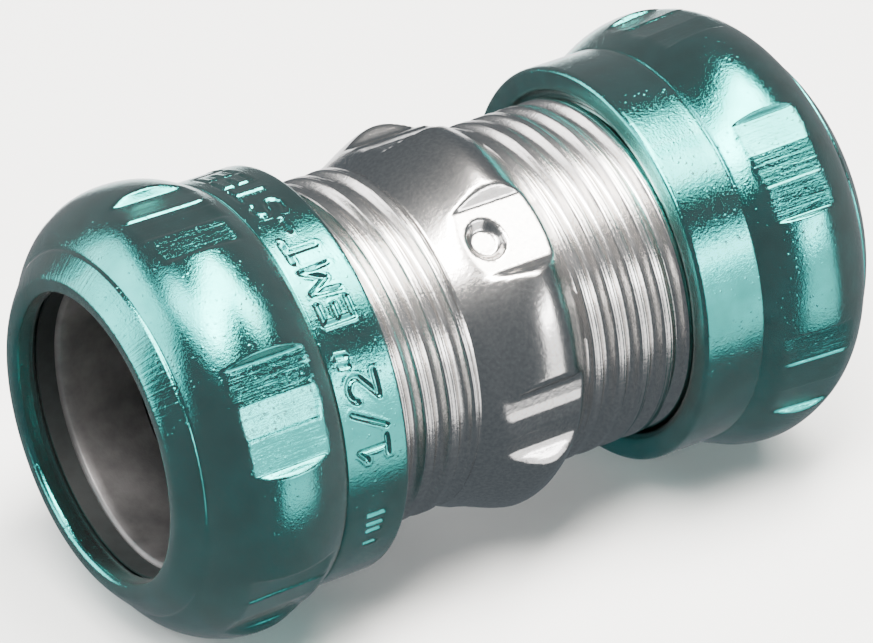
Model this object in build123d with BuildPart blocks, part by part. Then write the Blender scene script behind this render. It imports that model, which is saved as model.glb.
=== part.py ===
"""Compression coupling for half-inch thin-wall conduit.

A steel body joins two lengths of conduit end to end. At each end a nut screws onto the body and
squeezes an outer seal, a split compression ring and an inner seal onto the conduit.
The coupling lies with its axis along X. The origin is the centre of its bounding box, on the axis.
Every radius is about the X axis, and every angle is about +X, counted from +Z towards -Y.
A distance u is measured outwards from the middle of the body.
A distance s is measured inwards from the lip face of a nut.
"""

from build123d import *
import os
from math import cos, radians, sin

os.makedirs("parts", exist_ok=True)

# ---------------------------------------------------------------- driving dimensions, mm and degrees

# how the coupling stands at rest: the left nut is screwed further on than the right one
overall_length = 52.4
left_lip_u = 25.4
right_lip_u = overall_length - left_lip_u
body_x = left_lip_u - overall_length / 2

# thread: 14 turns to the inch, right-hand at both ends
pitch = 25.4 / 14
core_r = 10.75
crest_r = 11.4
foot_width = 1.35
crest_width = 0.75
thread_from_u = 5.3
left_thread_turn = 0.0  # where each thread starts around the axis, in degrees
right_thread_turn = 122.0
thread_to_u = 14.2
root_depth = 0.3  # how deep a ridge is rooted in its wall
flank_gap = 0.12  # axial gap between the body's ridge and the nut's ridge, on each side

# body: it takes a conduit of 17.93 mm diameter
bore_r = 9.15
body_half = 15.25
body_end_chamfer = 0.35
mouth_r = 9.85
mouth_depth = 0.7
bulge_half = 4.7
bulge_r = 13.05
bulge_crown_u = 0.9  # the crown sits to the right of the middle, so its right flank is the steeper one
flank_r = 12.05
left_flank_u = -1.9
right_flank_u = 3.3
relief_r = 10.3
relief_half = 2.7
stop_tip_r = 8.4
stop_base_radius = 1.7
stop_rooting = 0.5  # how far the inner cone reaches into the wall
stop_tip_radius = 1.0
stop_count = 2

# wrench pads, pressed into the bulge and into each nut
pad_count = 6
pad_facets = 3
wall_lean = 0.5  # how far a pad's side wall leans out, for each unit of its height
cutter_overshoot = 0.2  # how far the body's pad cutters stand above its crown
body_pad_r = 12.0
body_pad_width = 24.0
body_pad_u = 0.55
body_pad_angle = 35.5
nut_pad_r = 14.0
nut_pad_width = 29.0
left_pad_angle = 62.0
right_pad_angle = 45.0

# stop dimple, punched into a pad of the bulge
dimple_u = -0.65
dimple_radius = 1.6
dimple_floor_radius = 0.88
dimple_depth = 0.65

# nut
nut_length = 15.0
lip_bore_r = 9.45
lip_edge_round = 0.3
lip_length = 1.3
seat_end_s = 2.85
pocket_r = 11.0
pocket_end_s = 9.4
nut_root_r = 11.65
nut_crest_r = 10.95
nut_thread_end_s = 14.0
thread_runout = 1.2  # plain bore between the end of the nut's ridge and its pocket
face_r = 10.45
crease_s = 1.35
crease_r = 11.95
crown_s = 6.2
crown_r = 14.8
collar_s = 10.45
collar_r = 13.4
collar_chamfer = 0.35

# split compression ring and the seals on either side of it
ring_from_s = 3.0
ring_to_s = 8.6
ring_bore_r = 9.2
ring_r = 10.6
ring_end_r = 9.9
ring_taper = 1.2
slit_width = 1.2
slit_angle = 60.0
outer_seal_from_s = 1.75
outer_seal_bore_r = 9.55
seal_gap = 0.2  # between the outer seal and the nut's conical seat
inner_seal_length = 1.1
inner_seal_bore_r = 9.3
inner_seal_r = 10.55


# ---------------------------------------------------------------- helpers


def outward(angle):
    """The direction that points away from the axis at the given angle."""
    return Vector(0, -sin(radians(angle)), cos(radians(angle)))


def section_of_revolution(points):
    """A closed profile in the XY plane, given as (x, radius) points."""
    with BuildSketch(Plane.XY) as profile:
        with BuildLine():
            Polyline(*points, close=True)
        make_face()
    return profile.sketch


def ridge(x, side, length, base_r, top_r, base_width, top_width):
    """A right-hand helical thread ridge that starts at x and runs outwards along side."""
    height = top_r - base_r
    root = -root_depth if height > 0 else root_depth
    with BuildPart() as thread:
        with BuildLine() as path:
            Helix(pitch=pitch, height=length, radius=base_r, center=(x, 0, 0), direction=(side, 0, 0))
        start = path.line @ 0
        across = Vector(0, start.Y, start.Z)
        with BuildSketch(Plane(origin=start, x_dir=across, z_dir=path.line % 0)):
            with BuildLine():
                Polyline(
                    (root, -base_width / 2),
                    (0, -base_width / 2),
                    (height, -top_width / 2),
                    (height, top_width / 2),
                    (0, base_width / 2),
                    (root, base_width / 2),
                    close=True,
                )
            make_face()
        sweep(path=path.line, is_frenet=True)
    return thread.part


def pad_cutters(x, half_length, floor_r, rim_r, width, first_angle):
    """Cutters for the six wrench pads: a faceted floor between two walls that lean outwards."""
    turns = [(k / pad_facets - 0.5) * width for k in range(pad_facets + 1)]
    floor = [(floor_r * sin(radians(turn)), floor_r * cos(radians(turn))) for turn in turns]
    height = rim_r - floor[-1][1]
    rim_y = floor[-1][0] + wall_lean * height
    with BuildPart() as cutters:
        for k in range(pad_count):
            up = outward(first_angle + 360 / pad_count * k)
            across = up.cross(Vector(1, 0, 0))
            with BuildSketch(Plane(origin=(x - half_length, 0, 0), x_dir=across, z_dir=(1, 0, 0))):
                with BuildLine():
                    Polyline((-rim_y, rim_r), *floor, (rim_y, rim_r), close=True)
                make_face()
            extrude(amount=2 * half_length)
    return cutters.part


def place(x, angle, radius):
    """A plane at a place around the axis, whose normal points away from the axis."""
    up = outward(angle)
    return Plane(origin=Vector(x, 0, 0) + up * radius, x_dir=(1, 0, 0), z_dir=up)


# ---------------------------------------------------------------- coupling body

with BuildPart() as coupling_body:
    # wall of revolution: a plain tube with the bulge in its middle
    with BuildSketch(Plane.XY):
        with BuildLine():
            Polyline(
                (body_x - bulge_half, core_r),
                (body_x - body_half + body_end_chamfer, core_r),
                (body_x - body_half, core_r - body_end_chamfer),
                (body_x - body_half, mouth_r),
                (body_x - body_half + mouth_depth, bore_r),
                (body_x - relief_half - (relief_r - bore_r), bore_r),
                (body_x - relief_half, relief_r),
                (body_x + relief_half, relief_r),
                (body_x + relief_half + (relief_r - bore_r), bore_r),
                (body_x + body_half - mouth_depth, bore_r),
                (body_x + body_half, mouth_r),
                (body_x + body_half, core_r - body_end_chamfer),
                (body_x + body_half - body_end_chamfer, core_r),
                (body_x + bulge_half, core_r),
            )
            Spline(
                (body_x + bulge_half, core_r),
                (body_x + right_flank_u, flank_r),
                (body_x + bulge_crown_u, bulge_r),
                (body_x + left_flank_u, flank_r),
                (body_x - bulge_half, core_r),
            )
        make_face()
    revolve(axis=Axis.X)
    add(pad_cutters(body_x + body_pad_u, bulge_half - body_pad_u, body_pad_r, bulge_r + cutter_overshoot,
                    body_pad_width, body_pad_angle), mode=Mode.SUBTRACT)
    # each end carries a rolled thread
    for side, thread_turn in ((-1, left_thread_turn), (1, right_thread_turn)):
        add(ridge(body_x + side * thread_from_u, side, thread_to_u - thread_from_u,
                  core_r, crest_r, foot_width, crest_width).rotate(Axis.X, thread_turn))
    # conduit stops: a punched dimple outside, a blunt cone inside
    for k in range(stop_count):
        angle = body_pad_angle + 360 / stop_count * k
        with BuildSketch(place(body_x + dimple_u, angle, relief_r + stop_rooting)):
            Circle(stop_base_radius)
        with BuildSketch(place(body_x + dimple_u, angle, stop_tip_r)):
            Circle(stop_tip_radius)
        loft()
        with BuildSketch(place(body_x + dimple_u, angle, body_pad_r)):
            Circle(dimple_radius)
        with BuildSketch(place(body_x + dimple_u, angle, body_pad_r - dimple_depth)):
            Circle(dimple_floor_radius)
        loft(mode=Mode.SUBTRACT)
coupling_body.part.label = "coupling_body"
export_step(coupling_body.part, "parts/coupling_body.step")


# ---------------------------------------------------------------- what each end carries


def compression_nut(side, lip_x, first_pad_angle, thread_turn):
    """A nut with a barrel-shaped grip, six wrench pads and a plain collar."""

    def at(s, r):
        return (lip_x - side * s, r)

    with BuildPart() as nut:
        with BuildSketch(Plane.XY):
            with BuildLine():
                Polyline(
                    at(collar_s, collar_r),
                    at(nut_length - collar_chamfer, collar_r),
                    at(nut_length, collar_r - collar_chamfer),
                    at(nut_length, nut_root_r + collar_chamfer),
                    at(nut_length - collar_chamfer, nut_root_r),
                    at(pocket_end_s + nut_root_r - pocket_r, nut_root_r),
                    at(pocket_end_s, pocket_r),
                    at(seat_end_s, pocket_r),
                    at(lip_length, lip_bore_r),
                    at(lip_edge_round, lip_bore_r),
                    at(0, lip_bore_r + lip_edge_round),
                    at(0, face_r),
                    at(crease_s, crease_r),
                )
                TangentArc(at(crown_s, crown_r), at(crease_s, crease_r), tangent=(side, 0))
                TangentArc(at(crown_s, crown_r), at(collar_s, collar_r), tangent=(-side, 0))
            make_face()
        revolve(axis=Axis.X)
        add(pad_cutters(lip_x - side * crown_s, collar_s - crown_s, nut_pad_r, crown_r,
                        nut_pad_width, first_pad_angle), mode=Mode.SUBTRACT)
        add(nut_thread(side, lip_x).rotate(Axis.X, thread_turn))
    return nut.part


def nut_thread(side, lip_x):
    """The nut's ridge: it follows the body's ridge half a pitch further on."""
    body_slope = (foot_width - crest_width) / 2 / (crest_r - core_r)
    body_width_at_nut_crest = foot_width - 2 * body_slope * (nut_crest_r - core_r)
    top_width = pitch - body_width_at_nut_crest - 2 * flank_gap
    base_width = top_width + 2 * body_slope * (nut_root_r - nut_crest_r)
    inner_end_u = abs(lip_x - body_x) - nut_thread_end_s
    turns_skipped = int((inner_end_u - thread_from_u) / pitch) + 1
    from_u = thread_from_u + (turns_skipped + 0.5) * pitch
    room = abs(lip_x - body_x) - pocket_end_s - thread_runout - from_u
    return ridge(body_x + side * from_u, side, room, nut_root_r, nut_crest_r, base_width, top_width)


def compression_ring(side, lip_x):
    """A split ring with a taper at both ends."""
    with BuildPart() as ring:
        with BuildSketch(Plane.XY):
            with BuildLine():
                Polyline(
                    (lip_x - side * ring_from_s, ring_bore_r),
                    (lip_x - side * ring_from_s, ring_end_r),
                    (lip_x - side * (ring_from_s + ring_taper), ring_r),
                    (lip_x - side * (ring_to_s - ring_taper), ring_r),
                    (lip_x - side * ring_to_s, ring_end_r),
                    (lip_x - side * ring_to_s, ring_bore_r),
                    close=True,
                )
            make_face()
        revolve(axis=Axis.X)
        middle_x = lip_x - side * (ring_from_s + ring_to_s) / 2
        with BuildSketch(place(middle_x, slit_angle, 0)):
            Rectangle(2 * (ring_to_s - ring_from_s), slit_width)
        extrude(amount=2 * ring_r, mode=Mode.SUBTRACT)
    return ring.part


def outer_seal(side, lip_x):
    """A rubber ring with a tapered front, between the nut's conical seat and the ring."""
    front_r = lip_bore_r + outer_seal_from_s - lip_length - seal_gap
    back_r = front_r + ring_from_s - outer_seal_from_s
    with BuildPart() as seal:
        with BuildSketch(Plane.XY):
            with BuildLine():
                Polyline(
                    (lip_x - side * outer_seal_from_s, outer_seal_bore_r),
                    (lip_x - side * outer_seal_from_s, front_r),
                    (lip_x - side * ring_from_s, back_r),
                    (lip_x - side * ring_from_s, outer_seal_bore_r),
                    close=True,
                )
            make_face()
        revolve(axis=Axis.X)
    return seal.part


def inner_seal(side, lip_x):
    """A flat rubber ring between the compression ring and the mouth of the body."""
    with BuildPart() as seal:
        with BuildSketch(Plane(origin=(lip_x - side * ring_to_s, 0, 0), z_dir=(-side, 0, 0))):
            Circle(inner_seal_r)
            Circle(inner_seal_bore_r, mode=Mode.SUBTRACT)
        extrude(amount=inner_seal_length)
    return seal.part


for end, side, lip_u, pad_angle, thread_turn in (
    ("left", -1, left_lip_u, left_pad_angle, left_thread_turn),
    ("right", 1, right_lip_u, right_pad_angle, right_thread_turn),
):
    lip_x = body_x + side * lip_u
    pieces = {
        "compression_nut": compression_nut(side, lip_x, pad_angle, thread_turn),
        "outer_seal": outer_seal(side, lip_x),
        "compression_ring": compression_ring(side, lip_x),
        "inner_seal": inner_seal(side, lip_x),
    }
    for name, piece in pieces.items():
        piece.label = f"{end}_{name}"
        export_step(piece, f"parts/{end}_{name}.step")
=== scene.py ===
# %% [markdown]
# # A conduit compression coupling
# This lesson finishes a steel coupling that joins two half-inch conduits. A bright zinc body sits
# in the middle, and a teal compression nut is screwed onto each end.
# The engineering model is loaded first as a fixed frame. It says where every piece is and how it
# moves, so each piece made here takes its place and size from it.

# %% Load the frame
from math import atan2, cos, pi, radians, sin

import bpy
import numpy as np
from mathutils import Matrix, Vector


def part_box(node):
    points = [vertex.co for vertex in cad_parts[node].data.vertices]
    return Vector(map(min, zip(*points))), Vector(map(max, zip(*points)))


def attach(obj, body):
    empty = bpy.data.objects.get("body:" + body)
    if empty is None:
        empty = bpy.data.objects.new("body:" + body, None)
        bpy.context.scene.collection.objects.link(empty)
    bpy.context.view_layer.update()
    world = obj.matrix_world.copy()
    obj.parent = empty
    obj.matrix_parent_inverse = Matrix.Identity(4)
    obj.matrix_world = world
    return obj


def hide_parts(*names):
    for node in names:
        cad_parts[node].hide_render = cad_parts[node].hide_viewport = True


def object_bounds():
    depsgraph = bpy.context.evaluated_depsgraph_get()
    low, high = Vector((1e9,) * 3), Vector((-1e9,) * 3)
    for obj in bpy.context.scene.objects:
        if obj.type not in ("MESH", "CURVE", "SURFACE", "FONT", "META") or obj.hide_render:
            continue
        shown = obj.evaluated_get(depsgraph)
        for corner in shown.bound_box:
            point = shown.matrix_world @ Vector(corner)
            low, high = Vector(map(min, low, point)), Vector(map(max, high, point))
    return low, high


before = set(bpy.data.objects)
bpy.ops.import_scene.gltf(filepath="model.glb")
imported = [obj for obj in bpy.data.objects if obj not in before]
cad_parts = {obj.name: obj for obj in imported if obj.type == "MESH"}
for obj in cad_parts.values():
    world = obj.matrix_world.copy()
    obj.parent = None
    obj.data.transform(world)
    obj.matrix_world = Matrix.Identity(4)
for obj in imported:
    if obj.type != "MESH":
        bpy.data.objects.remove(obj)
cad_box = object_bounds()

MM = 0.001
print("pieces in the frame:", sorted(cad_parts))

# %% [markdown]
# ## Reading sizes from the frame
# The coupling lies along X. Every radius is about the X axis, and every angle is about +X, counted
# from straight up towards the viewer's side, -Y. Lengths are in millimetres until the last step.
# On the body, u is the distance from its middle along X. On a nut, s is the distance inwards from
# the face of its lip.

# %% Sizes
PITCH = 25.4 / 14
body_low, body_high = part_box("coupling_body")
BODY_X = (body_low.x + body_high.x) / 2 / MM
BODY_HALF = (body_high.x - body_low.x) / 2 / MM
ENDS = {}
for end, side in (("left", -1), ("right", 1)):
    low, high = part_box(f"{end}_compression_nut")
    ENDS[end] = {"side": side, "lip_x": (high.x if side > 0 else low.x) / MM}
NUT_LENGTH = (high.x - low.x) / MM
CROWN_R = max(low.z * -1, high.y, high.z) / MM
print("body middle", round(BODY_X, 3), "half length", round(BODY_HALF, 3))
print("nut length", round(NUT_LENGTH, 3), "crown radius", round(CROWN_R, 3))


# %% [markdown]
# ## Drawing a section
# A turned part is half of its section swept round an axis. The section is a line of points, with
# straight stretches and smooth ones. A smooth stretch leaves and arrives in a given way, so that it
# joins the next one without a corner.


# %% Stretches of an outline
def curve(start, end, start_way, end_way, steps):
    """Points of a smooth stretch between two points, leaving and arriving in the given ways."""
    points = []
    for k in range(1, steps + 1):
        t = k / steps
        a, b = 2 * t**3 - 3 * t**2 + 1, t**3 - 2 * t**2 + t
        c, d = -2 * t**3 + 3 * t**2, t**3 - t**2
        points.append(tuple(
            a * start[i] + b * start_way[i] + c * end[i] + d * end_way[i] for i in (0, 1)))
    return points


def straight(start, end, steps):
    """Points of a straight stretch, cut into equal steps."""
    return [tuple(start[i] + (end[i] - start[i]) * k / steps for i in (0, 1))
            for k in range(1, steps + 1)]


print("halfway round a corner:", curve((0, 0), (1, 1), (1, 0), (0, 1), 2)[0])

# %% [markdown]
# ## Turning a blank
# By hand, one vertex is extruded from point to point to draw the section, and a Screw modifier with
# no rise sweeps it round the axis. The Spin tool would do the same, but it is much slower with
# hundreds of steps.

# %% Outline and turning
MERGE_WITHIN = 1e-7


def select_only(piece):
    """Makes a piece the only one selected, and the active one."""
    bpy.ops.object.select_all(action="DESELECT")
    piece.select_set(True)
    bpy.context.view_layer.objects.active = piece


def draw_outline(name, points):
    """Extrudes one vertex along a closed outline of (x, radius) points."""
    bpy.ops.object.select_all(action="DESELECT")
    bpy.ops.mesh.primitive_plane_add(size=MM, location=(points[0][0] * MM, 0, points[0][1] * MM))
    piece = bpy.context.object
    piece.name = piece.data.name = name
    bpy.ops.object.mode_set(mode="EDIT")
    bpy.ops.mesh.select_mode(type="VERT")
    bpy.ops.mesh.select_all(action="SELECT")
    bpy.ops.mesh.merge(type="CENTER")
    for here, there in zip(points, points[1:] + points[:1]):
        step = ((there[0] - here[0]) * MM, 0, (there[1] - here[1]) * MM)
        bpy.ops.mesh.extrude_region_move(TRANSFORM_OT_translate={"value": step})
    bpy.ops.mesh.select_all(action="SELECT")
    bpy.ops.mesh.remove_doubles(threshold=MERGE_WITHIN)
    bpy.ops.object.mode_set(mode="OBJECT")
    bpy.ops.object.transform_apply(location=True, rotation=True, scale=True)
    return piece


def turn(piece, columns):
    """Sweeps the outline round the X axis."""
    screw = piece.modifiers.new("turn", "SCREW")
    screw.axis = "X"
    screw.angle = 2 * pi
    screw.screw_offset = 0
    screw.steps = screw.render_steps = columns
    screw.use_merge_vertices = True
    screw.merge_threshold = MERGE_WITHIN
    select_only(piece)
    bpy.ops.object.modifier_apply(modifier=screw.name)
    bpy.ops.object.mode_set(mode="EDIT")
    bpy.ops.mesh.select_all(action="SELECT")
    bpy.ops.mesh.normals_make_consistent(inside=False)
    bpy.ops.object.mode_set(mode="OBJECT")
    print(piece.name, "blank:", len(piece.data.polygons), "faces")


# %% [markdown]
# ## Moving metal
# The real parts are cold formed: a press squeezes the wrench pads in, rollers raise the thread and
# a punch marks the steel. Booleans would leave razor edges, so each tool here moves the vertices of
# the blank instead, as a press moves metal. The columns of vertices are first drawn together where
# an edge will be, so that a crisp edge costs few faces.


# %% Vertices as x, angle and radius
def polar(piece):
    """Each vertex of a piece as x, angle in degrees and radius."""
    flat = np.zeros(len(piece.data.vertices) * 3)
    piece.data.vertices.foreach_get("co", flat)
    x, y, z = flat.reshape(-1, 3).T / MM
    return x, np.degrees(np.arctan2(-y, z)) % 360, np.hypot(y, z)


def set_polar(piece, x, angle, radius):
    """Puts the vertices back."""
    turned = np.radians(angle)
    flat = np.stack([x, -radius * np.sin(turned), radius * np.cos(turned)], 1) * MM
    piece.data.vertices.foreach_set("co", flat.ravel())
    piece.data.update()


def store(piece, **values):
    """Keeps named values at the vertices, for the materials to read."""
    for name, value in values.items():
        kept = piece.data.attributes.new(name, "FLOAT", "POINT")
        kept.data.foreach_set("value", value.astype(float))


def crowd(angle, places, width, strength):
    """Draws the columns of vertices together at the given angles."""
    ruler = np.linspace(0, 360, 7201)
    weight = np.ones_like(ruler)
    for place in places:
        gap = (ruler - place + 180) % 360 - 180
        weight += strength * np.exp(-((gap / width) ** 2))
    reach = np.concatenate(([0], np.cumsum((weight[1:] + weight[:-1]) / 2)))
    return np.interp(angle, reach / reach[-1] * 360, ruler)


def arc_length(angle, place, radius):
    """How far each vertex is from an angle, round the circle of a given radius."""
    return ((angle - place + 180) % 360 - 180) * radians(1) * radius


drawn = np.diff(crowd(np.arange(0, 360, 0.6), [90], 1.6, 2.5))
print("degrees between columns:", round(drawn.max(), 2), "and at an edge", round(drawn.min(), 2))


# %% [markdown]
# ## Shapes that the tools leave
# Pressed steel has no sharp corners. Where a press stops, the old surface and the new one meet in a
# small round, and that is what soft_min gives. A wrench pad is a few flat facets, because the jaws
# that press it are made of flat blocks.


# %% Eases, rounds and pads
def ease(value, start, end):
    """0 before start, 1 after end, and smooth between them."""
    t = np.clip((value - start) / (end - start), 0, 1)
    return t * t * (3 - 2 * t)


def soft_min(a, b, round_by):
    """The smaller of two values, with the corner between them rounded."""
    h = np.clip(0.5 + 0.5 * (b - a) / round_by, 0, 1)
    return b + (a - b) * h - round_by * h * (1 - h)


PAD_STEP = 60
JAW_WEAR, CORNER_ROUND = 0.06, 0.16


def wrench_pad(angle, first, width, floor_r, lean, facets=3):
    """The radius that the press leaves: flat facets between two walls that lean outwards."""
    number = np.floor((angle - first + PAD_STEP / 2) / PAD_STEP)
    a = (angle - first + PAD_STEP / 2) % PAD_STEP - PAD_STEP / 2
    facet = width / facets
    k = np.clip(np.round(a / facet), -(facets // 2), facets // 2)
    uneven = JAW_WEAR * np.sin(2.4 * (3 * number + k))
    chord = (floor_r + uneven) * cos(radians(facet / 2)) / np.cos(np.radians(a - k * facet))
    wall = floor_r + (np.abs(a) - width / 2) * radians(1) * floor_r / lean
    return -soft_min(-chord, -wall, CORNER_ROUND)


print("a rounded corner lies", soft_min(1.0, 1.0, CORNER_ROUND) - 1, "mm from the sharp one")


# %% [markdown]
# ## Following the thread
# A thread is a helix, so a point's place in it is its x less its share of a turn. The screwed parts
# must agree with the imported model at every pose, so the start of each ridge is read from the crest
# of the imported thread.


# %% Where the ridges run
def distance_to_ridge(x, angle, phase):
    """How far a point is, along X, from the middle of a right-hand ridge."""
    turns = x / PITCH - angle / 360 - phase
    return np.abs(turns - np.round(turns)) * PITCH


def thread_phase(node, side, crest_over=11.38, from_u=5):
    """Where the ridge of a packed thread starts, in turns, read from its crest."""
    flat = np.array([v.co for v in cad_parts[node].data.vertices]) / MM
    x, angle = flat[:, 0], np.degrees(np.arctan2(-flat[:, 1], flat[:, 2]))
    radius = np.hypot(flat[:, 1], flat[:, 2])
    crest = (radius > crest_over) & (side * (x - BODY_X) > from_u)
    turns = x[crest] / PITCH - angle[crest] / 360
    mean = np.exp(2j * pi * turns).mean()
    return atan2(mean.imag, mean.real) / (2 * pi)


for end in ENDS.values():
    end["phase"] = thread_phase("coupling_body", end["side"])
print("thread phases:", [round(end["phase"], 3) for end in ENDS.values()])


# %% [markdown]
# ## Stamped marks
# The collar carries its trade size and the kind of conduit it is for. A punch leaves grooves with
# round ends and a low burr along both edges. Each character is a few strokes on a grid one unit
# high, and the groove's depth comes from the distance to the nearest stroke.


# %% Characters as strokes
def bow(cx, cy, rx, ry, start, end, steps=9):
    """Points along part of an ellipse."""
    turns = [radians(start + (end - start) * k / (steps - 1)) for k in range(steps)]
    return [(cx + rx * cos(t), cy + ry * sin(t)) for t in turns]


STROKES = {
    "1": [[(0.05, 0.72), (0.3, 1.0), (0.3, 0.0)], [(0.08, 0.0), (0.52, 0.0)]],
    "/": [[(0.0, -0.05), (0.5, 1.05)]],
    "2": [bow(0.3, 0.7, 0.3, 0.3, 170, -35) + [(0.0, 0.0), (0.6, 0.0)]],
    '"': [[(0.08, 1.05), (0.05, 0.75)], [(0.3, 1.05), (0.27, 0.75)]],
    "-": [[(0.05, 0.45), (0.45, 0.45)]],
    "E": [[(0.5, 1.0), (0.0, 1.0), (0.0, 0.0), (0.5, 0.0)], [(0.0, 0.5), (0.42, 0.5)]],
    "M": [[(0.0, 0.0), (0.05, 1.0), (0.35, 0.3), (0.65, 1.0), (0.7, 0.0)]],
    "T": [[(0.0, 1.0), (0.6, 1.0)], [(0.3, 1.0), (0.3, 0.0)]],
    "S": [bow(0.27, 0.75, 0.25, 0.25, 30, 255) + bow(0.27, 0.25, 0.27, 0.25, 75, -150)],
    "L": [[(0.0, 1.0), (0.0, 0.0), (0.48, 0.0)]],
}
SPACE_WIDTH, FAR_AWAY = 0.3, 99.0


def stroke_distance(along, up, marks, height, width, gap):
    """Distance from each point to the nearest stroke of a line of marks."""
    nearest = np.full(along.shape, FAR_AWAY)
    pen = 0.0
    for mark in marks:
        strokes = STROKES.get(mark, [])
        for stroke in strokes:
            for (ax, ay), (bx, by) in zip(stroke, stroke[1:]):
                px, py = along - pen - ax * width, up - ay * height
                dx, dy = (bx - ax) * width, (by - ay) * height
                t = np.clip((px * dx + py * dy) / (dx * dx + dy * dy), 0, 1)
                nearest = np.minimum(nearest, np.hypot(px - t * dx, py - t * dy))
        widest = max((x for stroke in strokes for x, y in stroke), default=SPACE_WIDTH)
        pen += widest * width + gap
    return nearest


print("characters drawn:", "".join(STROKES))

# %% [markdown]
# ## Compression nuts
# A nut is a barrel with a plain collar at its open end. Its lip turns in to hold the seal, a fine
# crease rings the front face, and a second one parts the barrel from the collar. Inside it has a
# pocket for the seals and the ring, and then the bore that will carry the thread.

# %% Nut outline
LIP_LENGTH, LIP_R, LIP_ROUND, FACE_R = 1.3, 9.45, 0.4, 10.3
CREASE_S, CREASE_R = 1.35, 11.95
CROWN_S, COLLAR_S, COLLAR_R = 6.2, 10.45, 13.4
MARKED_FROM_S, MARKED_TO_S, COLLAR_EDGE = 11.2, 13.7, 0.3
NUT_BORE_S, NUT_BORE_R, NUT_CREST_R, NUT_CHAMFER = 10.05, 11.65, 10.95, 0.35
POCKET_FROM_S, POCKET_TO_S, POCKET_R = 2.85, 9.4, 11.0


def nut_outline():
    """Half of the nut's section, as (distance from the lip face, radius)."""
    lip = (LIP_LENGTH, LIP_R)
    points = [lip] + straight(lip, (LIP_ROUND, LIP_R), 3)
    points += curve(points[-1], (0.0, LIP_R + LIP_ROUND), (-0.62, 0), (0, 0.62), 5)
    points += straight(points[-1], (0.0, FACE_R), 2)
    points += curve(points[-1], (CREASE_S - 0.09, CREASE_R - 0.03), (0.0, 0.9), (1.5, 1.5), 12)
    points += [(CREASE_S - 0.03, CREASE_R - 0.055), (CREASE_S + 0.03, CREASE_R - 0.03)]
    points += [(CREASE_S + 0.1, CREASE_R + 0.06)]
    points += curve(points[-1], (CROWN_S, CROWN_R), (2.2, 4.2), (6.8, 0), 30)
    points += curve(points[-1], (COLLAR_S - 0.1, COLLAR_R + 0.02), (5.2, 0), (3.6, -2.2), 24)
    points += [(COLLAR_S - 0.05, COLLAR_R - 0.07), (COLLAR_S, COLLAR_R - 0.08)]
    points += [(COLLAR_S + 0.03, COLLAR_R), (COLLAR_S + 0.1, COLLAR_R + 0.015)]
    points += straight(points[-1], (MARKED_FROM_S, COLLAR_R), 4)
    points += straight(points[-1], (MARKED_TO_S, COLLAR_R), 28)
    points += straight(points[-1], (NUT_LENGTH - COLLAR_EDGE, COLLAR_R), 5)
    points += curve(points[-1], (NUT_LENGTH, COLLAR_R - COLLAR_EDGE), (0.45, 0), (0, -0.45), 4)
    points += straight(points[-1], (NUT_LENGTH, NUT_BORE_R + NUT_CHAMFER), 4)
    points += straight(points[-1], (NUT_LENGTH - NUT_CHAMFER, NUT_BORE_R), 2)
    points += straight(points[-1], (NUT_BORE_S, NUT_BORE_R), 22)
    points += [(POCKET_TO_S, POCKET_R), (POCKET_FROM_S, POCKET_R)]
    return points


print("nut outline:", len(nut_outline()), "points")

# %% [markdown]
# ## Pads on the nuts
# Six pads round the barrel take the wrench. They could be cut with a Boolean, but a press bends the
# steel instead, so here the barrel is lowered to the pad wherever the pad lies deeper. The ends of
# a pad towards the collar are scalloped, one bow to a facet. How deep each vertex was pressed is
# kept, because the plate shows drag lines there.

# %% Nut pads
PAD_WIDTH, PAD_LEAN, PAD_ROUND = 28.0, 0.42, 0.14
PAD_R = {"left": 14.05, "right": 14.3}
PAD_FALL = {"left": 0.015, "right": 0.068}
PAD_ANGLE = {"left": 62.0, "right": 45.0}
PAD_MIDDLE_S, SCALLOP_DEPTH, SCALLOP_WIDTH = 6.8, 0.25, 18.7
BARREL_DENT, MARK_DEPTH = 0.06, 0.12


def press_nut(end, angle, s, radius, outer):
    """Dents the barrel a little and presses its pads. Gives the radius and the pads."""
    # a press never leaves a barrel perfectly round
    wave = np.sin(np.radians(3 * angle + 40)) * np.sin(s * 0.9 + np.radians(2 * angle))
    on_barrel = ease(s, 2.2, 4.5) * (1 - ease(s, 9.0, COLLAR_S - 0.2)) * outer
    radius = radius - BARREL_DENT * (0.5 + 0.5 * wave) * on_barrel

    first = PAD_ANGLE[end]
    floor_r = PAD_R[end] - PAD_FALL[end] * (s - PAD_MIDDLE_S)
    floor = wrench_pad(angle, first, PAD_WIDTH, floor_r, PAD_LEAN)
    bows = np.abs(np.sin(np.radians((angle - first) * 360 / SCALLOP_WIDTH)))
    floor += SCALLOP_DEPTH * ease(s, 8.4, 10.0) * bows
    on_barrel = outer & (s > CREASE_S + 0.5) & (s < COLLAR_S - 0.12)
    pad = on_barrel * ease(radius - floor, 0.0, MARK_DEPTH)
    return np.where(on_barrel, soft_min(radius, floor, PAD_ROUND), radius), pad


print("pad floors:", PAD_R, "mm from the axis")

# %% [markdown]
# ## Thread inside the nuts
# The nut's ridge runs in the body's groove, so it is half a pitch away from the body's ridge. It
# could be a separate swept spring, but raising the bore itself keeps the nut one closed skin.

# %% Nut thread
NUT_RIDGE_TOP, NUT_RIDGE_FOOT = 0.2, 0.52


def thread_nut(x, angle, s, radius, phase):
    """Raises the ridge inside the bore, and fades it out at both ends."""
    ridge = distance_to_ridge(x, angle, phase + 0.5)
    height = (NUT_BORE_R - NUT_CREST_R) * (1 - ease(ridge, NUT_RIDGE_TOP, NUT_RIDGE_FOOT))
    height *= ease(s, 10.1, 10.8) * (1 - ease(s, NUT_LENGTH - 1.1, NUT_LENGTH - 0.5))
    on_bore = (radius < NUT_BORE_R + 0.01) & (s > 10)
    return np.where(on_bore, radius - height, radius)


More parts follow.
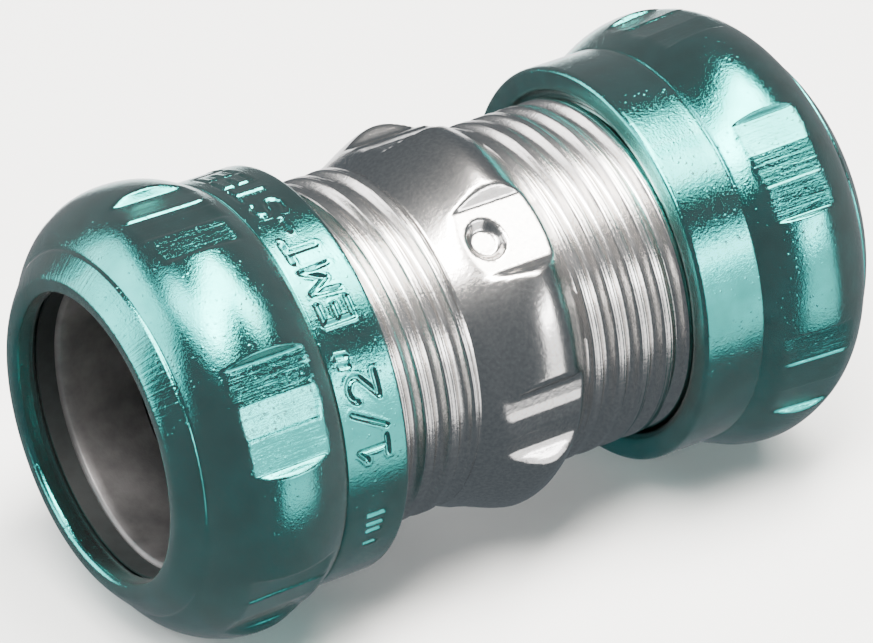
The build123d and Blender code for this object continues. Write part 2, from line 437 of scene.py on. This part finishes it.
print("nut ridge:", round(NUT_BORE_R - NUT_CREST_R, 2), "mm high")

# %% [markdown]
# ## Stamping the collar
# Only the left nut is marked: the trade size, the kind of conduit, and four plain ticks further
# round. The groove is as deep as the punch went, and the steel that it pushed aside stands up
# beside it.

# %% Collar stamp
TEXT = '1/2" EMT-STEEL'
TEXT_START, TEXT_BASE_S = 84.0, 13.45
TEXT_HEIGHT, TEXT_WIDTH, TEXT_GAP = 2.05, 2.6, 0.66
TEXT_HALF_WIDTH, TEXT_DEPTH = 0.2, 0.16
BURR_HEIGHT, BURR_AWAY, BURR_WIDTH = 0.04, 0.07, 0.08
TICKS, TICK_S, TICK_HALF = (101.5, 105.0, 108.0, 113.5), 12.65, 0.62


def stamp_collar(angle, s, radius, outer):
    """Sinks the marks into the collar and raises a burr along their edges."""
    away = stroke_distance(-arc_length(angle, TEXT_START, COLLAR_R), TEXT_BASE_S - s, TEXT,
                           TEXT_HEIGHT, TEXT_WIDTH, TEXT_GAP)
    for k, tick in enumerate(TICKS):
        beyond = np.maximum(np.abs(s - TICK_S) - TICK_HALF + 0.06 * k, 0)
        away = np.minimum(away, np.hypot(arc_length(angle, tick, COLLAR_R), beyond))
    groove = TEXT_DEPTH * (1 - ease(away, 0.0, TEXT_HALF_WIDTH))
    beside = (away - TEXT_HALF_WIDTH - BURR_AWAY) / BURR_WIDTH
    on_collar = outer & (s > COLLAR_S + 0.2) & (s < NUT_LENGTH - 0.4)
    return np.where(on_collar, radius - groove + BURR_HEIGHT * np.exp(-(beside**2)), radius)


print("stamp:", TEXT, "and", len(TICKS), "ticks")

# %% [markdown]
# ## Making both nuts
# The blank is turned, its columns are drawn together at the pads' edges and under the marks, and
# then the press, the tap and the stamp each change the radius in turn.

# %% Nuts
NUT_COLUMNS, OUTSIDE_R, FRONT_OVER_R = 600, 12.2, 10.0


def make_nut(end, side, lip_x, phase):
    """Turns, presses, threads and stamps one nut."""
    nut = draw_outline(f"{end}_nut", [(lip_x - side * s, r) for s, r in nut_outline()])
    turn(nut, NUT_COLUMNS)
    x, angle, radius = polar(nut)
    edges = [PAD_ANGLE[end] + PAD_STEP * k + PAD_WIDTH * part
             for k in range(6) for part in (-0.52, -1 / 6, 1 / 6, 0.52)]
    angle = crowd(angle, edges, 1.6, 2.5)
    if side < 0:
        angle = crowd(angle, np.arange(-22, 118, 4), 3.0, 0.75)
    s = (lip_x - x) * side
    outer = radius > OUTSIDE_R
    radius, pad = press_nut(end, angle, s, radius, outer)
    radius = thread_nut(x, angle, s, radius, phase)
    if side < 0:
        radius = stamp_collar(angle, s, radius, outer)
    set_polar(nut, x, angle, radius)
    store(nut, pad=pad, front=(s < CREASE_S - 0.05) & (radius > FRONT_OVER_R))
    return nut


nuts = {name: make_nut(name, **end) for name, end in ENDS.items()}
for name, nut in nuts.items():
    print(name, "nut, in mm:", [round(d / MM, 2) for d in nut.dimensions])

# %% [markdown]
# ## Coupling body
# The body is one steel tube. Its bore takes a conduit from each end, with a wider relief between
# the two sockets. The blank is a plain tube, and everything outside is pressed and rolled later.

# %% Body outline
BORE_R, MOUTH_R, MOUTH_DEPTH = 9.15, 9.85, 0.7
RELIEF_R, RELIEF_HALF, RELIEF_FOOT = 10.3, 2.7, 3.85
CORE_R, CREST_R, BODY_CHAMFER = 10.75, 11.4, 0.35
BULGE_HALF, THREAD_FULL_U = 4.3, 12.4


def body_outline():
    """Half of the body's section, as (distance from its middle, radius)."""
    end = BODY_HALF
    points = [(-end, MOUTH_R), (-end + MOUTH_DEPTH, BORE_R)]
    points += straight(points[-1], (-RELIEF_FOOT, BORE_R), 6) + [(-RELIEF_HALF, RELIEF_R)]
    points += straight(points[-1], (RELIEF_HALF, RELIEF_R), 24) + [(RELIEF_FOOT, BORE_R)]
    points += straight(points[-1], (end - MOUTH_DEPTH, BORE_R), 6) + [(end, MOUTH_R)]
    points += [(end, CORE_R - BODY_CHAMFER), (end - BODY_CHAMFER, CORE_R)]
    points += straight(points[-1], (THREAD_FULL_U, CORE_R), 13)
    points += straight(points[-1], (BULGE_HALF, CORE_R), 78)
    points += straight(points[-1], (-BULGE_HALF, CORE_R), 56)
    points += straight(points[-1], (-THREAD_FULL_U, CORE_R), 78)
    points += straight(points[-1], (-end + BODY_CHAMFER, CORE_R), 13)
    points += [(-end, CORE_R - BODY_CHAMFER)]
    return points


print("body outline:", len(body_outline()), "points")

# %% [markdown]
# ## The bulge and its pads
# Pressure inside the tube swells its middle, a little fuller towards the right, and jaws then press
# six pads into it. The bulge is a table of radii, blurred so that no ring shows where two of them
# meet. The two pads that carry a stop are one flat facet, because the punch's anvil flattens them.

# %% Bulge and body pads
BULGE_U = [-4.9, -3.9, -3.1, -2.1, -1.1, -0.1, 0.9, 1.8, 2.6, 3.4, 3.9, 4.3, 4.9]
BULGE_R = [10.75, 11.2, 11.6, 12.02, 12.48, 12.88, 13.08, 12.98, 12.62, 12.05, 11.6, 11.2, 10.75]
BLUR_HALF, BLUR_STEPS = 0.45, 10
BODY_PAD_R, BODY_PAD_WIDTH, BODY_PAD_ANGLE, BODY_PAD_LEAN = 12.0, 22.0, 35.5, 0.75
BODY_PAD_U, BODY_PAD_HALF, ANVIL_LIFT, BULGE_DENT = 0.68, 3.3, 0.1, 0.05


def press_body(angle, u, radius, outer):
    """Swells the bulge and presses its pads. Gives the radius, the pads and their zone."""
    blurs = np.linspace(-BLUR_HALF, BLUR_HALF, BLUR_STEPS)
    bulge = sum(np.interp(u + blur, BULGE_U, BULGE_R) for blur in blurs) / len(blurs)
    dent = 0.5 + 0.5 * np.sin(np.radians(2 * angle + 70) + 0.6 * u)
    bulge -= BULGE_DENT * dent * (bulge - CORE_R) / 2.3
    radius = np.where(outer, np.maximum(radius, bulge), radius)

    shape = (BODY_PAD_ANGLE, BODY_PAD_WIDTH)
    floor = wrench_pad(angle, *shape, BODY_PAD_R, BODY_PAD_LEAN)
    flat = wrench_pad(angle, *shape, BODY_PAD_R + ANVIL_LIFT, BODY_PAD_LEAN, facets=1)
    punched = np.abs((angle - BODY_PAD_ANGLE + 90) % 180 - 90) < PAD_STEP / 2
    floor = np.where(punched, flat, floor)
    on_bulge = outer & (np.abs(u - BODY_PAD_U) < BODY_PAD_HALF)
    pad = on_bulge * ease(radius - floor, 0.0, MARK_DEPTH)
    return np.where(on_bulge, soft_min(radius, floor, CORNER_ROUND), radius), pad, on_bulge


print("bulge:", max(BULGE_R), "mm from the axis at its fullest")

# %% [markdown]
# ## Stops for the conduits
# A punch drives the wall in at two opposite pads. Outside it leaves a small cone with a flat floor
# and a puckered wall, and inside a blunt nose that the conduit's end meets.

# %% Stops
STOP_ANGLES = (BODY_PAD_ANGLE, BODY_PAD_ANGLE + 180)
DIMPLE_U, DIMPLE_R, DIMPLE_FLOOR_R, DIMPLE_DEPTH = -0.5, 1.55, 0.86, 0.65
PUCKER, PUCKERS = 0.2, 22
NOSE_R, NOSE_FLAT_R, NOSE_TIP_R = 1.7, 1.0, 8.4


def punch_stop(place, angle, u, radius, on_bulge):
    """Punches one stop: a cone outside and a nose inside."""
    across = arc_length(angle, place, BODY_PAD_R)
    away = np.hypot(u - DIMPLE_U, across)
    slope = ease(away, DIMPLE_FLOOR_R, DIMPLE_R)
    pucker = PUCKER * np.sin(PUCKERS * np.arctan2(across, u - DIMPLE_U)) * slope * (1 - slope)
    cone = BODY_PAD_R + 0.02 - DIMPLE_DEPTH * (1 - slope) + pucker
    near = on_bulge & (away < DIMPLE_R + 0.05) & (np.abs(across) < 3)
    radius = np.where(near, np.minimum(radius, cone), radius)

    away = np.hypot(u - DIMPLE_U, arc_length(angle, place, RELIEF_R))
    nose = (RELIEF_R - NOSE_TIP_R) * (1 - ease(away, NOSE_FLAT_R, NOSE_R))
    inside = (radius < RELIEF_R + 0.01) & (np.abs(u) < RELIEF_HALF + 0.05)
    return np.where(inside, radius - nose, radius)


print("stops at", STOP_ANGLES, "degrees")

# %% [markdown]
# ## Rolled threads
# Rollers press the groove in, and the steel flows up into a narrow crest. So the groove is a smooth
# hollow and the crest is the part with an edge, the other way round from a thread that is cut. How
# far a vertex is from the crest is kept, because the plate shows a seam there.

# %% Body threads
CREST_HALF_WIDTH, OFF_THREAD = 0.3, 0.9


def thread_body(x, angle, u, radius, outer):
    """Raises both threads. Gives the radius and the distance to the crest."""
    crest_distance = np.full_like(x, OFF_THREAD)
    for end in ENDS.values():
        here = outer & (end["side"] * u > 3.5)
        away = distance_to_ridge(x, angle, end["phase"])
        trough = np.clip((away - CREST_HALF_WIDTH) / (PITCH / 2 - CREST_HALF_WIDTH), 0, 1)
        height = (CREST_R - CORE_R) * (1 - np.sin(trough * pi / 2))
        height *= ease(np.abs(u), 3.5, 4.1) * (1 - ease(np.abs(u), 14.2, 14.85))
        radius = np.where(here, np.maximum(radius, CORE_R + height), radius)
        crest_distance = np.where(here & (np.abs(u) > 3.7), away, crest_distance)
    return radius, crest_distance


print("thread pitch:", round(PITCH, 3), "mm, height:", round(CREST_R - CORE_R, 2), "mm")

# %% [markdown]
# ## Making the body
# As with the nuts, the tube is turned, its columns are drawn together where the pads end and where
# the stops are, and each tool changes the radius in turn.

# %% Body
BODY_COLUMNS = 330


def make_body():
    """Turns, swells, presses, punches and threads the body."""
    body = draw_outline("body", [(BODY_X + u, r) for u, r in body_outline()])
    turn(body, BODY_COLUMNS)
    x, angle, radius = polar(body)
    edges = [BODY_PAD_ANGLE + PAD_STEP * k + BODY_PAD_WIDTH * part
             for k in range(6) for part in (-0.53, 0.53)]
    angle = crowd(angle, edges, 2.0, 1.2)
    angle = crowd(angle, STOP_ANGLES, 9.0, 0.8)
    u = x - BODY_X
    outer = radius > CORE_R - 0.01
    radius, pad, on_bulge = press_body(angle, u, radius, outer)
    for place in STOP_ANGLES:
        radius = punch_stop(place, angle, u, radius, on_bulge)
    radius, crest_distance = thread_body(x, angle, u, radius, outer)
    set_polar(body, x, angle, radius)
    store(body, pad=pad, crest_distance=crest_distance, threaded=ease(np.abs(u), 4.0, 4.6))
    return body


body = make_body()
print("body, in mm:", [round(d / MM, 2) for d in body.dimensions])

# %% [markdown]
# ## Split compression rings
# Each ring is turned with a taper at both ends, so that the nut and the body squeeze it from both
# sides. Its front end shows in the mouth of the nut.

# %% Ring outline
RING_FROM_S, RING_TO_S, RING_TAPER = 3.0, 8.6, 1.2
RING_BORE_R, RING_R, RING_END_R = 9.2, 10.6, 9.8


def ring_outline():
    """Half of a ring's section, as (distance from the lip face, radius)."""
    a, b = RING_FROM_S, RING_TO_S
    start = (a + 0.25, RING_BORE_R)
    points = [start] + curve(start, (a, 9.5), (-0.2, 0.0), (-0.1, 0.35), 4)
    points += [(a, RING_END_R)]
    points += curve(points[-1], (a + 0.15, 10.0), (0, 0.12), (0.15, 0.1), 3)
    points += straight(points[-1], (a + RING_TAPER, RING_R), 4)
    points += straight(points[-1], (b - RING_TAPER, RING_R), 6)
    points += straight(points[-1], (b - 0.1, 9.96), 4)
    points += [(b, RING_END_R), (b, 9.4), (b - 0.2, RING_BORE_R)]
    points += straight(points[-1], start, 8)[:-1]
    return points


print("ring outline:", len(ring_outline()), "points")

# %% [markdown]
# ## Sawing the rings
# A ring is sawn through once so that it can close onto the conduit. A saw does leave sharp edges,
# so here a Boolean with a thin block is the right tool.

# %% Rings
RING_COLUMNS, SLIT_ANGLE, SLIT_MIDDLE_R = 256, 60.0, 10
SAW_SIZE = Vector((8, 1.2, 4))


def make_ring(end, side, lip_x):
    """Turns one ring and saws it through."""
    ring = draw_outline(f"{end}_ring", [(lip_x - side * s, r) for s, r in ring_outline()])
    turn(ring, RING_COLUMNS)
    up = Vector((0, -sin(radians(SLIT_ANGLE)), cos(radians(SLIT_ANGLE))))
    middle = Vector((lip_x - side * (RING_FROM_S + RING_TO_S) / 2, 0, 0)) + up * SLIT_MIDDLE_R
    bpy.ops.object.select_all(action="DESELECT")
    bpy.ops.mesh.primitive_cube_add(
        size=1, location=middle * MM, rotation=(radians(SLIT_ANGLE), 0, 0), scale=SAW_SIZE * MM)
    saw = bpy.context.object
    cut = ring.modifiers.new("saw cut", "BOOLEAN")
    cut.operation, cut.object, cut.solver = "DIFFERENCE", saw, "EXACT"
    select_only(ring)
    bpy.ops.object.modifier_apply(modifier=cut.name)
    bpy.data.objects.remove(saw)
    return ring


rings = {name: make_ring(name, end["side"], end["lip_x"]) for name, end in ENDS.items()}
for name, ring in rings.items():
    print(name, "ring:", len(ring.data.polygons), "faces after sawing")

# %% [markdown]
# ## Every piece rides on its body
# The frame moves bodies, not pieces. Each new piece rides on the body of the node that it stands
# for, so it follows when a nut is screwed on or off. Shading is smooth except across true corners:
# pressed steel has few of them, and the sawn ring has more.

# %% Riding and smoothing
PRESSED_CORNER, SAWN_CORNER = 75, 35
STANDS_FOR = [(body, "coupling_body", "coupling", "zinc_plated_steel", PRESSED_CORNER)]
for name in ENDS:
    STANDS_FOR.append((nuts[name], f"{name}_compression_nut", f"{name}_nut",
                       "teal_plated_steel", PRESSED_CORNER))
    STANDS_FOR.append((rings[name], f"{name}_compression_ring", f"{name}_ring_set",
                       "ring_steel", SAWN_CORNER))
for piece, node, rides_on, slot, corner in STANDS_FOR:
    select_only(piece)
    bpy.ops.object.shade_smooth_by_angle(angle=radians(corner))
    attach(piece, rides_on)
    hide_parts(node)
print("pieces made here:", [row[0].name for row in STANDS_FOR])


# %% [markdown]
# ## Building materials
# Colours are written as sRGB hex values, and one function turns them linear. Another adds a node
# with its settings and links. Every pattern's scale is one over the size of its grain.


# %% Material helpers
def colour(code):
    """Linear RGBA of an sRGB hex colour."""
    parts = [int(code[k:k + 2], 16) / 255 for k in (1, 3, 5)]
    return [p / 12.92 if p <= 0.04045 else ((p + 0.055) / 1.055) ** 2.4 for p in parts] + [1.0]


def per_mm(size):
    """Texture scale for a grain of this size in millimetres."""
    return 1 / (size * MM)


def add_node(tree, kind, inputs=None, **settings):
    """Adds a node. An input is a value, or a (node, output) pair to link from."""
    node = tree.nodes.new(kind)
    for name, value in settings.items():
        setattr(node, name, value)
    for name, value in (inputs or {}).items():
        if isinstance(value, tuple) and isinstance(value[0], bpy.types.Node):
            tree.links.new(value[0].outputs[value[1]], node.inputs[name])
        else:
            node.inputs[name].default_value = value
    return node


def new_material(name):
    """An empty node material, and its tree."""
    material = bpy.data.materials.new(name)
    material.use_nodes = True
    material.node_tree.nodes.clear()
    return material, material.node_tree


def ramp(tree, source, low, high, low_colour, high_colour):
    """Fades between two colours as a value goes from low to high."""
    share = add_node(tree, "ShaderNodeMapRange", {
        "Value": source, "From Min": low, "From Max": high})
    mix = add_node(tree, "ShaderNodeMix", {0: (share, "Result")}, data_type="RGBA")
    mix.inputs[6].default_value = low_colour
    mix.inputs[7].default_value = high_colour
    return mix


print("middle grey, linear:", [round(p, 3) for p in colour("#808080")])

# %% [markdown]
# ## Scratches along the axis
# A press drags the steel along X, so its scratches are long in X and fine round the axis. A plain
# stretched noise would smear where the surface turns away, so the position is first put on a unit
# circle, and X is added to it slowly.

# %% Streaks
STREAK_WIDTH, STREAK_LENGTH, STREAK_RADIUS = 0.22, 6.0, 12.6


def streak_position(tree):
    """Coordinates that vary fast round the axis and slowly along it."""
    place = add_node(tree, "ShaderNodeTexCoord")
    parts = add_node(tree, "ShaderNodeSeparateXYZ", {0: (place, "Object")})
    flat = add_node(tree, "ShaderNodeCombineXYZ", {"Y": (parts, "Y"), "Z": (parts, "Z")})
    spoke = add_node(tree, "ShaderNodeVectorMath", {0: (flat, 0)}, operation="NORMALIZE")
    fast = add_node(tree, "ShaderNodeVectorMath", {
        0: (spoke, 0), "Scale": STREAK_RADIUS / STREAK_WIDTH}, operation="SCALE")
    slow = add_node(tree, "ShaderNodeMath", {
        0: (parts, "X"), 1: per_mm(STREAK_LENGTH)}, operation="MULTIPLY")
    shift = add_node(tree, "ShaderNodeCombineXYZ", {"X": (slow, 0)})
    return add_node(tree, "ShaderNodeVectorMath", {0: (fast, 0), 1: (shift, 0)}, operation="ADD")


print("scratches:", STREAK_WIDTH, "mm wide and", STREAK_LENGTH, "mm long")


# %% [markdown]
# ## Teal dyed zinc plate
# The nuts are pressed steel with a zinc plate that is dyed teal and sealed clear. It reflects as a
# coloured metal, with a grain like fine sand from the steel under it and small spots where the
# plate grew thick. The press dragged fine lines along the pads, and the lathe left short scratches
# across the front face. The clear seal is a thin coat, and a trace of sheen greys the dark sides.


# %% Teal plate
def teal_plate():
    """Teal dyed zinc plate on pressed steel: coloured metal under a thin clear coat."""
    material, tree = new_material("teal dyed zinc plate")
    place = add_node(tree, "ShaderNodeTexCoord")
    mottle = add_node(tree, "ShaderNodeTexNoise", {
        "Vector": (place, "Object"), "Scale": per_mm(2.5), "Detail": 2.0, "Roughness": 0.5})

    # sand-like grain, finer than the eye can part
    grain = add_node(tree, "ShaderNodeTexNoise", {
        "Vector": (place, "Object"), "Scale": per_mm(0.17), "Detail": 3.0, "Roughness": 0.7})
    depth = add_node(tree, "ShaderNodeBump", {
        "Height": (grain, 0), "Distance": 0.018 * MM, "Strength": 1.0})

    # spots of thick plate, in patches
    spots = add_node(tree, "ShaderNodeTexVoronoi", {
        "Vector": (place, "Object"), "Scale": per_mm(0.45), "Randomness": 1.0})
    spot_height = add_node(tree, "ShaderNodeMapRange", {
        "Value": (spots, "Distance"), "From Min": 0.05, "From Max": 0.26, "To Min": 1.0,
        "To Max": 0.0}, interpolation_type="SMOOTHSTEP")
    patch = add_node(tree, "ShaderNodeMapRange", {
        "Value": (mottle, 0), "From Min": 0.4, "From Max": 0.6, "To Min": 0.35})
    spot_height = add_node(tree, "ShaderNodeMath", {0: (spot_height, 0), 1: (patch, 0)},
                           operation="MULTIPLY")
    depth = add_node(tree, "ShaderNodeBump", {
        "Height": (spot_height, 0), "Distance": 0.017 * MM, "Strength": 1.0, "Normal": (depth, 0)})

    # drag lines on the pads and the front face
    drag = add_node(tree, "ShaderNodeTexNoise", {
        "Vector": (streak_position(tree), 0), "Scale": 1.0, "Detail": 3.0, "Roughness": 0.6})
    on_pad = add_node(tree, "ShaderNodeAttribute", attribute_name="pad")
    on_front = add_node(tree, "ShaderNodeAttribute", attribute_name="front")
    lined = add_node(tree, "ShaderNodeMath", {0: (on_pad, "Fac"), 1: (on_front, "Fac")},
                     operation="MAXIMUM")
    drag_height = add_node(tree, "ShaderNodeMath", {0: (drag, 0), 1: (lined, 0)},
                           operation="MULTIPLY")
    depth = add_node(tree, "ShaderNodeBump", {
        "Height": (drag_height, 0), "Distance": 0.03 * MM, "Strength": 1.0, "Normal": (depth, 0)})

    tint = ramp(tree, (mottle, 0), 0.35, 0.65, colour("#138B85"), colour("#1F9D97"))
    surface = add_node(tree, "ShaderNodeBsdfPrincipled", {
        "Base Color": (tint, 2), "Metallic": 1.0, "Roughness": 0.12, "Normal": (depth, 0),
        "Coat Weight": 0.25, "Coat Roughness": 0.1,
        "Sheen Weight": 0.035, "Sheen Roughness": 0.8})
    add_node(tree, "ShaderNodeOutputMaterial", {"Surface": (surface, 0)})
    return material


TEAL = teal_plate()
print(TEAL.name, "has", len(TEAL.node_tree.nodes), "nodes")


# %% [markdown]
# ## Bright zinc plate
# The body has the same plate without the dye. It is almost white metal with a warm shine, smoother
# than the nuts. The rollers left lines round the threads and a split seam along each crest.


# %% Zinc plate
def zinc_plate():
    """Bright zinc plate on rolled steel: pale metal, a little duller on the threads."""
    material, tree = new_material("bright zinc plate")
    place = add_node(tree, "ShaderNodeTexCoord")
    grain = add_node(tree, "ShaderNodeTexNoise", {
        "Vector": (place, "Object"), "Scale": per_mm(0.25), "Detail": 3.0, "Roughness": 0.6})
    depth = add_node(tree, "ShaderNodeBump", {
        "Height": (grain, 0), "Distance": 0.012 * MM, "Strength": 1.0})

    # roller lines, strongest beside the crests
    rolled = add_node(tree, "ShaderNodeMapping", {
        "Vector": (place, "Object"), "Scale": (per_mm(0.12), per_mm(3.0), per_mm(3.0))})
    lines = add_node(tree, "ShaderNodeTexNoise", {
        "Vector": (rolled, 0), "Scale": 1.0, "Detail": 3.0, "Roughness": 0.6})
    crest = add_node(tree, "ShaderNodeAttribute", attribute_name="crest_distance")
    near_crest = add_node(tree, "ShaderNodeMapRange", {
        "Value": (crest, "Fac"), "From Min": 0.35, "From Max": 0.6, "To Min": 1.0, "To Max": 0.25})
    lines_height = add_node(tree, "ShaderNodeMath", {0: (lines, 0), 1: (near_crest, 0)},
                            operation="MULTIPLY")
    depth = add_node(tree, "ShaderNodeBump", {
        "Height": (lines_height, 0), "Distance": 0.01 * MM, "Strength": 1.0, "Normal": (depth, 0)})

    # seam where the steel closed over the crest
    seam = add_node(tree, "ShaderNodeMath", {0: (crest, "Fac"), 1: 0.16}, operation="SUBTRACT")
    seam_away = add_node(tree, "ShaderNodeMath", {0: (seam, 0)}, operation="ABSOLUTE")
    seam_height = add_node(tree, "ShaderNodeMapRange", {
        "Value": (seam_away, 0), "From Min": 0.0, "From Max": 0.08})
    depth = add_node(tree, "ShaderNodeBump", {
        "Height": (seam_height, 0), "Distance": 0.02 * MM, "Strength": 1.0, "Normal": (depth, 0)})

    tint = ramp(tree, (grain, 0), 0.35, 0.65, colour("#CBC8C6"), colour("#DEDAD6"))
    threaded = add_node(tree, "ShaderNodeAttribute", attribute_name="threaded")
    finish = add_node(tree, "ShaderNodeMapRange", {
        "Value": (threaded, "Fac"), "To Min": 0.2, "To Max": 0.24})
    surface = add_node(tree, "ShaderNodeBsdfPrincipled", {
        "Base Color": (tint, 2), "Metallic": 1.0, "Roughness": (finish, 0), "Normal": (depth, 0)})
    add_node(tree, "ShaderNodeOutputMaterial", {"Surface": (surface, 0)})
    return material


ZINC = zinc_plate()
print(ZINC.name, "has", len(ZINC.node_tree.nodes), "nodes")


# %% [markdown]
# ## Oiled strip steel
# The split rings are rolled from bare strip and dipped in oil. The oil dulls the shine and stains
# it in soft blotches, so the metal is rough and its colour wanders over a few millimetres.


# %% Ring steel
def ring_steel():
    """Bare rolled strip steel, dulled and blotched by oil."""
    material, tree = new_material("oiled strip steel")
    place = add_node(tree, "ShaderNodeTexCoord")
    blotch = add_node(tree, "ShaderNodeTexNoise", {
        "Vector": (place, "Object"), "Scale": per_mm(3.0), "Detail": 4.0, "Roughness": 0.6})
    grain = add_node(tree, "ShaderNodeTexNoise", {
        "Vector": (place, "Object"), "Scale": per_mm(0.15), "Detail": 2.0, "Roughness": 0.6})
    depth = add_node(tree, "ShaderNodeBump", {
        "Height": (grain, 0), "Distance": 0.01 * MM, "Strength": 1.0})
    tint = ramp(tree, (blotch, 0), 0.35, 0.7, colour("#5E5D5D"), colour("#7A7777"))
    surface = add_node(tree, "ShaderNodeBsdfPrincipled", {
        "Base Color": (tint, 2), "Metallic": 0.8, "Roughness": 0.45, "Normal": (depth, 0)})
    add_node(tree, "ShaderNodeOutputMaterial", {"Surface": (surface, 0)})
    return material


STRIP = ring_steel()
print(STRIP.name, "has", len(STRIP.node_tree.nodes), "nodes")


# %% [markdown]
# ## Moulded rubber
# The seals are black rubber, moulded in a fine matte tool. Rubber isn't a metal, so it keeps its
# own dark colour, with a faint grey bloom.


# %% Seal rubber
def seal_rubber():
    """Moulded black rubber: matte, with a faint bloom."""
    material, tree = new_material("moulded rubber")
    place = add_node(tree, "ShaderNodeTexCoord")
    bloom = add_node(tree, "ShaderNodeTexNoise", {
        "Vector": (place, "Object"), "Scale": per_mm(0.8), "Detail": 3.0, "Roughness": 0.6})
    depth = add_node(tree, "ShaderNodeBump", {
        "Height": (bloom, 0), "Distance": 0.02 * MM, "Strength": 1.0})
    tint = ramp(tree, (bloom, 0), 0.3, 0.7, colour("#0F1212"), colour("#181C1C"))
    surface = add_node(tree, "ShaderNodeBsdfPrincipled", {
        "Base Color": (tint, 2), "Metallic": 0.0, "Roughness": 0.6, "Normal": (depth, 0)})
    add_node(tree, "ShaderNodeOutputMaterial", {"Surface": (surface, 0)})
    return material


RUBBER = seal_rubber()
print(RUBBER.name, "has", len(RUBBER.node_tree.nodes), "nodes")

# %% [markdown]
# ## Dressing the pieces
# Each new piece gets the finish of its slot. The seals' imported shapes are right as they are, so
# they stay, and only their material changes.

# %% Dressing
FINISHES = {"zinc_plated_steel": ZINC, "teal_plated_steel": TEAL, "ring_steel": STRIP}
for piece, node, rides_on, slot, corner in STANDS_FOR:
    piece.data.materials.clear()
    piece.data.materials.append(FINISHES[slot])
SEALS = [f"{name}_{part}_seal" for name in ENDS for part in ("outer", "inner")]
for seal in SEALS:
    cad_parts[seal].material_slots[0].material = RUBBER
print("packed pieces kept:", SEALS)

# %% [markdown]
# ## Floor
# The coupling lies on a plain pale floor. Metal shows whatever is round it, and a pale floor would
# wash its underside out, so the floor is hidden from reflections and lets the light from below by.

# %% Floor
FLOOR_Z, FLOOR_SIZE = cad_box[0][2], 3.0
bpy.ops.object.select_all(action="DESELECT")
bpy.ops.mesh.primitive_plane_add(size=FLOOR_SIZE, location=(0, 0, FLOOR_Z))
floor = bpy.context.object
floor.name = "floor"
paper, tree = new_material("pale paper")
surface = add_node(tree, "ShaderNodeBsdfPrincipled", {
    "Base Color": colour("#F4F4F2"), "Roughness": 0.85})
add_node(tree, "ShaderNodeOutputMaterial", {"Surface": (surface, 0)})
floor.data.materials.append(paper)
floor.visible_glossy = False
floor.visible_shadow = False
print("floor at", round(FLOOR_Z / MM, 2), "mm")


# %% [markdown]
# ## Camera
# The view is from the front left and well above, close enough to see into the left mouth. A long
# lens keeps the two ends nearly the same size.


# %% Camera
def direction(azimuth, elevation):
    """From the object towards a viewer or a light. Azimuth 0 stands on the -Y side."""
    a, e = radians(azimuth), radians(elevation)
    return Vector((sin(a) * cos(e), -cos(a) * cos(e), sin(e)))


VIEW_AZIMUTH, VIEW_ELEVATION = -33.4, 32.3
VIEW_DISTANCE, LENS, SENSOR_WIDTH = 324.3 * MM, 208.1, 36
AIM_X, AIM_LEFT, AIM_DOWN = 0.175 * MM, 0.533 * MM, 0.418 * MM
back = direction(VIEW_AZIMUTH, VIEW_ELEVATION)
right = Vector((cos(radians(VIEW_AZIMUTH)), sin(radians(VIEW_AZIMUTH)), 0))
up = back.cross(right)
aim = Vector((AIM_X, 0, 0)) - right * AIM_LEFT - up * AIM_DOWN
camera_data = bpy.data.cameras.new("camera")
camera_data.lens = LENS
camera_data.sensor_width = SENSOR_WIDTH
camera_data.clip_start = 0.01
camera = bpy.data.objects.new("camera", camera_data)
bpy.context.scene.collection.objects.link(camera)
camera.location = aim + back * VIEW_DISTANCE
camera.rotation_euler = back.to_track_quat("Z", "Y").to_euler()
bpy.context.scene.camera = camera
print("camera at", [round(c, 3) for c in camera.location])

# %% [markdown]
# ## Light
# Polished metal is only as good as what it mirrors. Large soft panels give it broad bright shapes,
# with quiet darkness between them: a long one overhead, set askew, and lower ones to the left, the
# front right and behind.

# %% Lights
PANEL_DISTANCE = 0.5


def panel(name, azimuth, elevation, width, height, power, tint="#FFFFFF", turned=None):
    """A soft panel that faces the coupling."""
    data = bpy.data.lights.new(name, "AREA")
    data.shape, data.size, data.size_y = "RECTANGLE", width, height
    data.energy, data.color = power, colour(tint)[:3]
    light = bpy.data.objects.new(name, data)
    bpy.context.scene.collection.objects.link(light)
    way = direction(azimuth, elevation)
    light.location = way * PANEL_DISTANCE
    side = Vector((0, 0, 1)).cross(way)
    if turned is not None:
        side = Vector((cos(radians(turned)), sin(radians(turned)), 0))
    side = (side - way * side.dot(way)).normalized()
    light.rotation_euler = Matrix((side, way.cross(side), way)).transposed().to_euler()
    print("panel:", name, power, "W")


WARM = "#FFFBF6"
panel("overhead", 0, 80, 0.62, 0.18, 15.0, WARM, turned=28)
panel("overhead front", 59, 57, 0.14, 0.14, 1.7, WARM)
panel("left", -75, 55, 0.34, 0.2, 2.4)
panel("back left", -122, 15, 0.46, 0.36, 3.2)
panel("front right", 26, 6, 0.36, 0.23, 0.65)
panel("front right top", 29, 17, 0.3, 0.07, 1.1)
panel("front low", 26, -18, 0.36, 0.18, 0.5)
panel("back right", 150, -18, 0.2, 0.16, 0.3)

# %% [markdown]
# ## Air
# A dim, slightly blue surround fills the darkness between the panels, so that no side of the metal
# goes black.

# %% World
world = bpy.data.worlds.new("studio")
bpy.context.scene.world = world
world.use_nodes = True
surround = world.node_tree.nodes["Background"].inputs
surround["Color"].default_value = colour("#A3B0BA")
surround["Strength"].default_value = 0.33
print("world strength:", round(surround["Strength"].default_value, 2))
